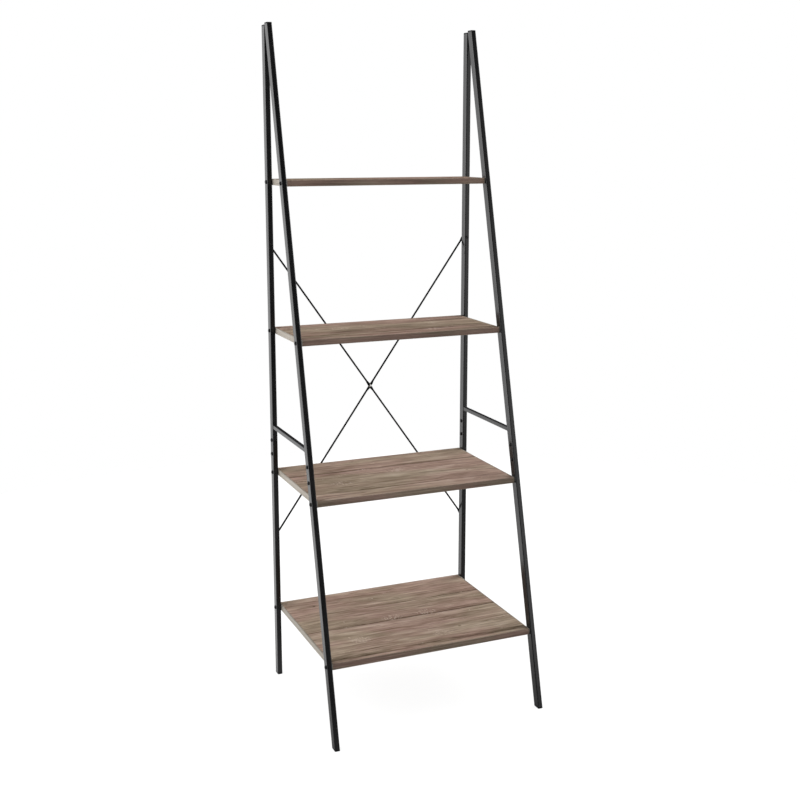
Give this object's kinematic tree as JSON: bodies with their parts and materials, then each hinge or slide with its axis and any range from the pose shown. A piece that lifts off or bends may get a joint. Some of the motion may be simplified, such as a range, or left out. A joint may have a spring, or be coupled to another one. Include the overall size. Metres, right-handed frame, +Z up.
{
  "type": "ladder shelf",
  "caption": "Leaning ladder shelf: two slim black steel side frames hold wood-look boards that get shallower towards the top, with a thin crossed-rod brace across the back.",
  "frame": {"origin": "on the floor, under the middle of the part's box", "axes": "+Z up, +X to the part's right seen from the front, front faces -Y"},
  "size_m": [0.5684, 0.478, 1.7],
  "materials": {
    "black_powder_coat": "satin black powder coat on steel tube and rod",
    "grey_oak": "matt grey-brown weathered oak laminate with long grain",
    "black_plastic": "matt black moulded plastic",
    "blackened_steel": "black oxide steel, low sheen",
    "bright_steel": "bright zinc-plated steel"
  },
  "bodies": {
    "root": {"left_rear_post_lower": "black_powder_coat", "left_rear_post_upper": "black_powder_coat", "left_front_post_lower": "black_powder_coat", "left_front_post_upper": "black_powder_coat", "right_rear_post_lower": "black_powder_coat", "right_rear_post_upper": "black_powder_coat", "right_front_post_lower": "black_powder_coat", "right_front_post_upper": "black_powder_coat", "left_crossbar": "black_powder_coat", "right_crossbar": "black_powder_coat", "bottom_shelf": "grey_oak", "lower_shelf": "grey_oak", "upper_shelf": "grey_oak", "top_shelf": "grey_oak", "left_rear_foot": "black_plastic", "left_rear_cap": "black_plastic", "left_front_foot": "black_plastic", "left_front_cap": "black_plastic", "right_rear_foot": "black_plastic", "right_rear_cap": "black_plastic", "right_front_foot": "black_plastic", "right_front_cap": "black_plastic", "left_rear_sleeve": "black_powder_coat", "left_front_sleeve": "black_powder_coat", "right_rear_sleeve": "black_powder_coat", "right_front_sleeve": "black_powder_coat", "left_rear_sleeve_bolt_lower": "blackened_steel", "left_rear_sleeve_bolt_upper": "blackened_steel", "left_rear_shelf_bolt_bottom": "blackened_steel", "left_rear_shelf_bolt_lower": "blackened_steel", "left_rear_shelf_bolt_upper": "blackened_steel", "left_rear_shelf_bolt_top": "blackened_steel", "left_front_sleeve_bolt_lower": "blackened_steel", "left_front_sleeve_bolt_upper": "blackened_steel", "left_front_shelf_bolt_bottom": "blackened_steel", "left_front_shelf_bolt_lower": "blackened_steel", "left_front_shelf_bolt_upper": "blackened_steel", "left_front_shelf_bolt_top": "blackened_steel", "right_rear_sleeve_bolt_lower": "blackened_steel", "right_rear_sleeve_bolt_upper": "blackened_steel", "right_rear_shelf_bolt_bottom": "blackened_steel", "right_rear_shelf_bolt_lower": "blackened_steel", "right_rear_shelf_bolt_upper": "blackened_steel", "right_rear_shelf_bolt_top": "blackened_steel", "right_front_sleeve_bolt_lower": "blackened_steel", "right_front_sleeve_bolt_upper": "blackened_steel", "right_front_shelf_bolt_bottom": "blackened_steel", "right_front_shelf_bolt_lower": "blackened_steel", "right_front_shelf_bolt_upper": "blackened_steel", "right_front_shelf_bolt_top": "blackened_steel", "brace_rod_front": "black_powder_coat", "brace_rod_rear": "black_powder_coat", "brace_rivet": "bright_steel", "left_brace_bolt_lower": "blackened_steel", "left_brace_bolt_upper": "blackened_steel", "right_brace_bolt_lower": "blackened_steel", "right_brace_bolt_upper": "blackened_steel"}
  },
  "joints": []
}
